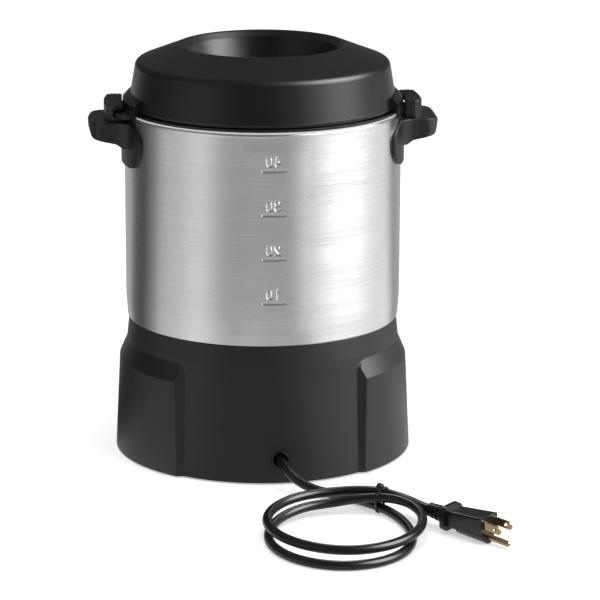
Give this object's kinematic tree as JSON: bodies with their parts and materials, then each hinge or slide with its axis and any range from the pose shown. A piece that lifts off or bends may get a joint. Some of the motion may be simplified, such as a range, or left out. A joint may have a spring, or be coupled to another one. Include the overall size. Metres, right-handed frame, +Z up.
{
  "type": "coffee urn",
  "caption": "Percolating coffee urn: aluminium tank on a black base, domed twist-lock lid, two wing handles, lever tap and mains cord.",
  "frame": {"origin": "on the urn's axis, on the surface that it stands on", "axes": "+Z up along the urn's axis; the tap is at -Y, the cord leaves at +Y, and the handles are at +X and -X"},
  "size_m": [0.3148, 0.5046, 0.3428],
  "materials": {
    "aluminium_shell": "drawn, finely brushed round the tank",
    "pump_aluminium": "spun satin",
    "cast_aluminium": "as cast",
    "black_phenolic": "moulded satin",
    "lid_plastic": "moulded semi-gloss",
    "black_plastic": "moulded satin",
    "black_rubber": "matte",
    "silicone": "matte",
    "cord_cover": "semi-matte cord cover",
    "tie_plastic": "plastic-coated wire",
    "steel": "zinc plated",
    "steel_plate": "plain",
    "heater_sheath": "heat tinted",
    "thermostat_can": "bright",
    "ceramic": "glazed ceramic",
    "wire_cover": "fibre sleeve",
    "lamp_body": "neon lamp",
    "amber_lens": "clear amber",
    "brass": "stamped, nickel free"
  },
  "bodies": {
    "urn": {"tank": "aluminium_shell", "base_shell": "black_phenolic", "base_cover": "black_phenolic", "base_cover_screws": "steel", "base_feet": "black_rubber", "clamp_plate": "steel_plate", "tank_stud": "steel", "centre_nut": "steel", "heater": "heater_sheath", "heater_bed": "cast_aluminium", "thermostat": "thermostat_can", "thermal_fuse": "ceramic", "terminal_block": "ceramic", "mains_wires": "wire_cover", "heater_wires": "wire_cover", "lamp": "lamp_body", "lamp_lens": "amber_lens", "handle_left": "black_phenolic", "handle_right": "black_phenolic", "lid_hook_left": "black_phenolic", "lid_hook_right": "black_phenolic", "handle_screws": "steel", "handle_washers": "steel", "tap_body": "black_plastic", "tap_gasket": "silicone", "tap_inner_washer": "silicone", "tap_nut": "black_plastic", "tap_bonnet": "black_plastic", "cord_bushing": "black_plastic", "cord_exit": "cord_cover", "cord_coil": "cord_cover", "cord_tail": "cord_cover", "cable_tie": "tie_plastic", "plug_body": "cord_cover", "plug_blades": "brass", "plug_ground_pin": "brass"},
    "seal_ring": {"lid_seal": "silicone"},
    "lid": {"lid": "lid_plastic"},
    "pump": {"pump_tube": "pump_aluminium", "pump_foot": "pump_aluminium", "pump_strainer": "pump_aluminium"},
    "basket": {"basket": "pump_aluminium"},
    "spreader": {"basket_spreader": "pump_aluminium"},
    "tap_stem": {"valve_stem": "steel", "seat_cup": "silicone", "lever_pin": "steel", "valve_spring": "steel"},
    "tap_lever": {"tap_lever": "black_plastic"}
  },
  "joints": [
    {"name": "lid_lift", "type": "slide", "parent": "urn", "child": "seal_ring", "axis": [0, 0, 1], "range_m": [0, 0.4]},
    {"name": "lid_turn", "type": "hinge", "parent": "seal_ring", "child": "lid", "pos_m": [0, 0, 0.31], "axis": [0, 0, 1], "range_deg": [-19, 0]},
    {"name": "pump_lift", "type": "slide", "parent": "urn", "child": "pump", "axis": [0, 0, 1], "range_m": [0, 0.2]},
    {"name": "basket_lift", "type": "slide", "parent": "pump", "child": "basket", "axis": [0, 0, 1], "range_m": [0, 0.096]},
    {"name": "spreader_lift", "type": "slide", "parent": "basket", "child": "spreader", "axis": [0, 0, 1], "range_m": [0, 0.048]},
    {"name": "valve_lift", "type": "slide", "parent": "urn", "child": "tap_stem", "axis": [0, 0, 1], "range_m": [0, 0.0036], "deforming": ["valve_spring"]},
    {"name": "lever_turn", "type": "hinge", "parent": "tap_stem", "child": "tap_lever", "pos_m": [0, -0.1507, 0.1763], "axis": [1, 0, 0], "range_deg": [0, 45], "stiffness_Nm_per_rad": 0.15, "springref_deg": -22.92}
  ],
  "couplings": [
    {"joint": "pump_lift", "follows": "lid_lift", "ratio": 0.5},
    {"joint": "basket_lift", "follows": "lid_lift", "ratio": 0.24},
    {"joint": "spreader_lift", "follows": "lid_lift", "ratio": 0.12},
    {"joint": "valve_lift", "follows": "lever_turn", "m_per_rad": 0.0045}
  ]
}
